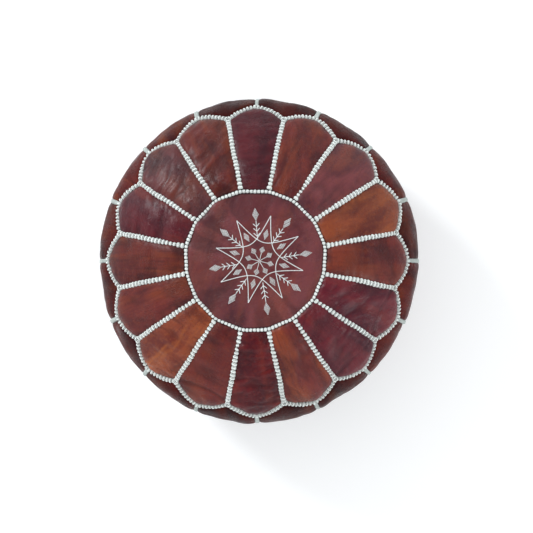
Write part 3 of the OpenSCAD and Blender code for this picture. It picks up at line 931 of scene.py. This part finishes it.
def embroider(surface):
    """Sews the star, the sprigs with their diamonds, the inner diamonds and the rosette."""
    silk = thread("embroidery_thread", (0.86, 0.89, 0.88), 0.5, sheen=0.5, ply=0.0008)
    hoop = Embroiderer(surface)
    stars = [PATTERN_TURN + 2 * math.pi / ARMS * (i + 0.5) for i in range(ARMS)]
    for turn in stars:
        hoop.rope(star_curve(), turn)
    hoop.piece("star_stitches", "embroidery_star", silk)
    for i, turn in enumerate(stars):
        hoop.satin(hatch(STAR_DIAMOND, 16.5 * MM, 8 * MM, 5, (-1) ** i), turn)
    hoop.piece("diamond_stitches", "embroidery_diamonds", silk)
    hoop.middle = SPRIG_MIDDLE
    for i in range(ARMS):
        turn = PATTERN_TURN + 2 * math.pi / ARMS * i + math.radians(SPRIG_LEAN.get(i, 1))
        reach = SPRIG_REACH.get(i, 0) * MM
        hoop.rope([(SPRIG_START, 0), (SPRIG_END + reach, 0)], turn, 1.2 * MM)
        for x in BARBS_AT:
            for side in (-1, 1):
                hoop.satin([polyline([(x, 0), (x + BARB, side * BARB)])], turn, 1.1 * MM)
        hoop.satin(hatch(SPRIG_DIAMOND + reach, 20 * MM, 9.6 * MM, 6, (-1) ** i), turn)
    hoop.piece("sprig_stitches", "embroidery_sprigs", silk)
    for i, turn in enumerate(stars):
        hoop.satin([polyline([(0.8 * MM, 0), (12 * MM, 0)])], turn, 0.8 * MM)
        hoop.satin(hatch(ROSETTE_DIAMOND, 11 * MM, 8.5 * MM, 5, (-1) ** i), turn, 0.7 * MM)
    hoop.piece("rosette_stitches", "embroidery_rosette", silk)


# ---- Lining and insert ----

LINING_OUT, LINING_IN = 6.3 * MM, 7.3 * MM
BAG_OUT, BAG_IN = 7.7 * MM, 8.4 * MM
FILLING_OUT = 9 * MM


def quilt(x, y, pitch=42 * MM):
    """Rise of a padding between lines of diamond quilting, 0 on the lines and 1 between them."""
    a, b = (x + y) / pitch * math.pi, (x - y) / pitch * math.pi
    return np.abs(np.sin(a) * np.sin(b)) ** 0.4


def layer_curve(depth, start, last_z, count):
    """Radius and height along a layer depth inside the cover, from start to its foot and up to last_z."""
    along = np.linspace(start, END_S, 1200)
    r, z, out_r, out_z = (np.interp(along, ALONG, field)
                          for field in (SECTION_R, SECTION_Z, NORMAL_R, NORMAL_Z))
    r, z = r - depth * out_r, np.maximum(z - depth * out_z, depth)
    foot = along > END_S - BASE_LIFT - (FOOT_R - BASE_R)
    r[foot] = np.maximum(r[foot], BASE_R + depth)
    return evened(np.append(r, BASE_R + depth), np.append(z, last_z), count)[1:]


def turned(r, z, around):
    """Points of a curve carried all the way round."""
    phi = np.linspace(0, 2 * math.pi, around, endpoint=False)[:, None]
    return placed(phi, r[None], np.broadcast_to(z, (around, len(z))))


def round_layer(depth, start, last_z, count):
    """A layer's points all the way round."""
    return turned(*layer_curve(depth, start, last_z, count), 192)


def make_lining():
    """Makes the quilted cotton lining: a top disc, a side band and a base disc with a slit."""
    cotton = woven("lining_cotton", (0.66, 0.58, 0.44), 0.9 * MM)
    phi, t = unit_disc(110)
    s = along_at(VALLEY_R) * t
    puff = quilt(s * np.cos(phi), s * np.sin(phi)) * np.clip((1 - t) * 20, 0, 1)
    upper, lower = on_cover(phi, s, 1.2 * MM * puff - LINING_OUT), on_cover(phi, s, -LINING_IN)
    top = shell("lining_top_quilt", upper, lower)
    side_from, rim_z = along_at(VALLEY_R) + 1.5 * MM, BASE_LIFT + 6.6 * MM
    outer = round_layer(LINING_OUT, side_from, rim_z, 110)
    inner = round_layer(LINING_IN, side_from, rim_z, 110)
    turn = np.arange(len(outer))[:, None] / len(outer) * 40
    puff = quilt(turn * 21 * MM, np.arange(110) * 4 * MM, 42 * MM)
    puff = puff * np.clip(outer[..., 2] / (30 * MM) - 0.3, 0, 1)
    side = ring_shell("lining_side_quilt", outer + (1.1 * MM * puff)[..., None] * unit(outer - inner), inner)
    dress(top, "lining_top", cotton)
    dress(side, "lining_side", cotton)
    dress(slit_disc(), "lining_base", cotton)


def slit_disc():
    """The base's quilted lining, with a rectangular slit for the zip."""
    low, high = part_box("lining_base")
    half_x, half_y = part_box("zip_tape_rear")[1].x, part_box("zip_tape_rear")[1].y
    radius, floor_z, thick = high.x - 0.5 * MM, low.z + 0.2 * MM, 3.6 * MM
    x = np.linspace(-1, 1, 81)[:-1] * half_x
    y = np.linspace(-1, 1, 9)[:-1] * half_y
    slit = np.concatenate([np.stack([x, np.full(80, -half_y)], 1), np.stack([np.full(8, half_x), y], 1)])
    slit = np.concatenate([slit, -slit])
    turn = slit[:, 1] / half_y * math.acos(half_x / radius)
    at_end = np.abs(slit[:, 0]) > half_x - 1e-9
    rim_x = np.where(at_end, np.sign(slit[:, 0]) * radius * np.cos(turn), slit[:, 0])
    rim_y = np.where(at_end, radius * np.sin(turn), np.sign(slit[:, 1]) * np.sqrt(radius ** 2 - rim_x ** 2))
    v = np.linspace(0, 1, 30)[:, None]
    flat = slit[:, None] * (1 - v) + np.stack([rim_x, rim_y], 1)[:, None] * v
    flat = flat[::-1]
    puff = quilt(flat[..., 0], flat[..., 1]) * np.minimum(1, np.minimum(v, 1 - v)[:, 0] * 12) * 0.5 * MM
    outer = np.dstack([flat, floor_z + 0.5 * MM - puff])
    inner = np.dstack([flat, floor_z + thick + puff])
    piece = ring_shell("lining_base_quilt", outer, inner)
    return piece


def make_insert():
    """Makes the calico bag and the lumpy cotton in it."""
    start, count = 4 * MM, 90
    bag = []
    for depth in (BAG_OUT, BAG_IN):
        body = insert_body(depth, start, count)
        gore = 0.15 * MM * np.cos(np.linspace(0, 2 * math.pi, len(body), endpoint=False) * 8)
        bag.append(body + gore[:, None, None] * unit(body - [0, 0, GIRTH_Z]))
    outer, inner = capped(bag[0]), capped(bag[1], bag[0][..., 0].size + 2)
    cover = build("insert_bag", np.concatenate([outer[0], inner[0]]), outer[1], inner[1][:, ::-1],
                  np.concatenate([outer[2], inner[2][:, ::-1]]))
    body = insert_body(FILLING_OUT, start, count)
    flat = body.reshape(-1, 3) / (28 * MM)
    lumps = np.reshape([abs(noise.noise(p)) for p in flat.tolist()], body.shape[:2])
    body = body - (lumps * 3 * MM)[..., None] * unit(body - [0, 0, GIRTH_Z])
    wad = build("insert_wadding", *capped(body))
    dress(cover, "insert_cover", woven("calico", (0.70, 0.65, 0.52), 0.7 * MM, 0.4))
    dress(wad, "insert_filling", wadding())


def insert_body(depth, start, count):
    """Points of the insert's surface at a depth, from the crown round to the middle of the base."""
    r, z = layer_curve(depth, start, BASE_LIFT + depth, count)
    inward = np.linspace(r[-1], start, 40)[1:]
    r, z = np.append(r, inward), np.append(z, np.full(len(inward), z[-1]))
    return turned(r, z, 144)


# ---- Zip ----

def rounded_copy(node, width):
    """A piece with a CAD node's shape and rounded edges."""
    shape = bmesh.new()
    shape.from_mesh(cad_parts[node].data)
    bmesh.ops.remove_doubles(shape, verts=shape.verts, dist=1e-6)
    bmesh.ops.dissolve_limit(shape, angle_limit=0.09, verts=shape.verts, edges=shape.edges)
    mesh = bpy.data.meshes.new(node + "_metal")
    shape.to_mesh(mesh)
    shape.free()
    piece = in_scene(node + "_metal", mesh)
    bevel = piece.modifiers.new("rounded", "BEVEL")
    bevel.width, bevel.segments, bevel.limit_method = width, 2, "ANGLE"
    return piece


def make_tape(node, material):
    """A woven tape, rippled a little where the needle drew it up, with a corded edge at the teeth."""
    low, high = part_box(node)
    side = 1 if high.y > 0 else -1
    u, v = grid(160, 14)
    x = side * u * high.x
    y = side * (abs(low.y if side > 0 else high.y) + v * (high.y - low.y))
    ripple = 0.12 * MM * np.sin(u * 110) * np.exp(-((v - 0.55) / 0.3) ** 2)
    cord = 0.15 * MM * np.exp(-(v / 0.08) ** 2)
    lower = low.z + 0.2 * MM - ripple - cord
    upper = low.z + 0.6 * MM - ripple + cord
    dress(shell(node + "_woven", np.dstack([x, y, lower]), np.dstack([x, y, upper])), node, material)


def make_zip():
    tape = woven("zip_tape", (0.060, 0.028, 0.018), 0.6 * MM, 0.78)
    metal = brass()
    for node in ("zip_tape_front", "zip_tape_rear"):
        make_tape(node, tape)
    for node, width, body in (("zip_teeth_front", 0.25, "cover"), ("zip_teeth_rear", 0.25, "cover"),
                              ("zip_stops", 0.3, "cover"), ("zip_slider", 0.25, "slider"),
                              ("zip_pull", 0.3, "pull")):
        dress(rounded_copy(node, width * MM), node, metal, body)


# ---- Studio ----

FLOOR_HALF = 8
CAMERA_AT = (48 * MM, -20 * MM, GIRTH_Z + 1.36)
CAMERA_TOWARD = (13 * MM, -8 * MM, GIRTH_Z)


def area_light(name, at, size, power, color):
    data = bpy.data.lights.new(name, "AREA")
    data.shape, data.size, data.energy, data.color = "DISK", size, power, color
    light = in_scene(name, data)
    light.location = at
    light.rotation_euler = (Vector((0, 0, 0.2)) - Vector(at)).to_track_quat("-Z", "Y").to_euler()


def dim_overhead(tree):
    """Makes the studio's light walls brighter than its ceiling."""
    up = tree.nodes.new("ShaderNodeSeparateXYZ")
    fade = tree.nodes.new("ShaderNodeMapRange")
    fade.inputs["From Min"].default_value, fade.inputs["From Max"].default_value = 0.6, 0.95
    fade.inputs["To Min"].default_value, fade.inputs["To Max"].default_value = 1.2, 0.32
    tree.links.new(tree.nodes.new("ShaderNodeTexCoord").outputs["Generated"], up.inputs[0])
    tree.links.new(up.outputs["Z"], fade.inputs["Value"])
    tree.links.new(fade.outputs[0], tree.nodes["Background"].inputs["Strength"])


def studio():
    corners = np.array([[-1, -1, 0], [1, -1, 0], [1, 1, 0], [-1, 1, 0]]) * FLOOR_HALF
    floor = build("floor", corners, np.array([[0, 1, 2, 3]]))
    paper = Look("paper", Emission_Strength=0.18)
    mottle = paper.noise(0.3, detail=2.0)
    color = paper.mix(mottle, tone((0.93, 0.93, 0.93)), tone((0.95, 0.95, 0.95)))
    floor.data.materials.append(paper.finish(color, 0.9, paper.bump(mottle, 0.1 * MM)))
    world = bpy.data.worlds.new("studio")
    bpy.context.scene.world = world
    world.use_nodes = True
    world.node_tree.nodes["Background"].inputs["Color"].default_value = (0.95, 0.98, 1.0, 1)
    dim_overhead(world.node_tree)
    area_light("window", (-1.7, 1.5, 1.8), 0.6, 38, (0.93, 0.97, 1.0))
    area_light("fill", (1.9, -1.3, 1.5), 0.7, 12, (0.97, 0.98, 1.0))


def aim(camera, at, toward):
    """Points the camera from at toward a point, with +Y up in the picture."""
    back = (Vector(at) - Vector(toward)).normalized()
    right = Vector((0, 1, 0)).cross(back).normalized()
    turn = Matrix((right, back.cross(right), back)).transposed()
    camera.matrix_world = Matrix.Translation(at) @ turn.to_4x4()


def place_camera():
    data = bpy.data.cameras.new("camera")
    data.sensor_width, data.lens = 36, 55.9
    camera = in_scene("camera", data)
    bpy.context.scene.camera = camera
    aim(camera, CAMERA_AT, CAMERA_TOWARD)


bpy.context.scene.view_settings.view_transform = "Standard"
place_camera()
studio()
medallion_surface = make_cover()
make_base()
sew()
embroider(medallion_surface)
make_lining()
make_insert()
make_zip()
